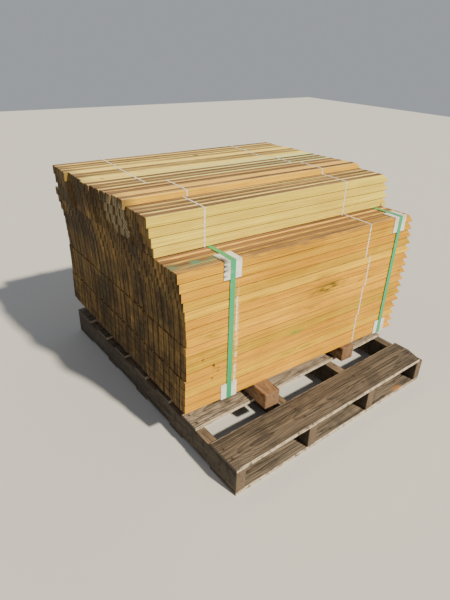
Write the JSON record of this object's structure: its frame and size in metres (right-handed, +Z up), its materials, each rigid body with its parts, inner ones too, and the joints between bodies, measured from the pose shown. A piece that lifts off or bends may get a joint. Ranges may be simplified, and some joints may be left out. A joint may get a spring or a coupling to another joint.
{
  "type": "bundle of pine studs",
  "caption": "Strapped stack of tied bundles of square pine studs with mitred ends, on two bearers and a wooden pallet.",
  "frame": {"origin": "middle of the pallet's underside, on the floor", "axes": "+Z up, +X along the studs towards their mitred ends, -Y towards the front of the stack"},
  "size_m": [1.1718, 1.2888, 0.8444],
  "materials": {
    "pine": "matte",
    "bearer_wood": "matte",
    "old_pallet_wood": "matte",
    "green_strap": "gloss",
    "white_plastic": "satin",
    "white_twine": "matte"
  },
  "bodies": {
    "root": {"bearer_left": "bearer_wood", "bearer_right": "bearer_wood", "corner_protectors_left": "white_plastic", "corner_protectors_right": "white_plastic", "lower_bundle_layer_1_column_1": "pine", "lower_bundle_layer_1_column_2": "pine", "lower_bundle_layer_1_column_3": "pine", "lower_bundle_layer_1_column_4": "pine", "lower_bundle_layer_1_column_5": "pine", "lower_bundle_layer_1_column_6": "pine", "lower_bundle_layer_1_column_7": "pine", "lower_bundle_layer_2_column_1": "pine", "lower_bundle_layer_2_column_2": "pine", "lower_bundle_layer_2_column_3": "pine", "lower_bundle_layer_2_column_4": "pine", "lower_bundle_layer_2_column_5": "pine", "lower_bundle_layer_2_column_6": "pine", "lower_bundle_layer_2_column_7": "pine", "lower_bundle_layer_3_column_1": "pine", "lower_bundle_layer_3_column_2": "pine", "lower_bundle_layer_3_column_3": "pine", "lower_bundle_layer_3_column_4": "pine", "lower_bundle_layer_3_column_5": "pine", "lower_bundle_layer_3_column_6": "pine", "lower_bundle_layer_3_column_7": "pine", "lower_bundle_layer_4_column_1": "pine", "lower_bundle_layer_4_column_2": "pine", "lower_bundle_layer_4_column_3": "pine", "lower_bundle_layer_4_column_4": "pine", "lower_bundle_layer_4_column_5": "pine", "lower_bundle_layer_4_column_6": "pine", "lower_bundle_layer_4_column_7": "pine", "lower_string_ties_layer_1": "white_twine", "lower_string_ties_layer_2": "white_twine", "lower_string_ties_layer_3": "white_twine", "lower_string_ties_layer_4": "white_twine", "pallet_bottom_board_1": "old_pallet_wood", "pallet_bottom_board_2": "old_pallet_wood", "pallet_bottom_board_3": "old_pallet_wood", "pallet_bottom_board_4": "old_pallet_wood", "pallet_bottom_board_5": "old_pallet_wood", "pallet_stringer_1": "old_pallet_wood", "pallet_stringer_2": "old_pallet_wood", "pallet_stringer_3": "old_pallet_wood", "pallet_stringer_4": "old_pallet_wood", "pallet_top_board_1": "old_pallet_wood", "pallet_top_board_2": "old_pallet_wood", "pallet_top_board_3": "old_pallet_wood", "pallet_top_board_4": "old_pallet_wood", "pallet_top_board_5": "old_pallet_wood", "pallet_top_board_6": "old_pallet_wood", "pallet_top_board_7": "old_pallet_wood", "strap_left": "green_strap", "strap_right": "green_strap", "upper_bundle_1": "pine", "upper_bundle_2": "pine", "upper_bundle_3": "pine", "upper_bundle_4": "pine", "upper_bundle_5": "pine", "upper_string_ties": "white_twine"}
  },
  "joints": []
}
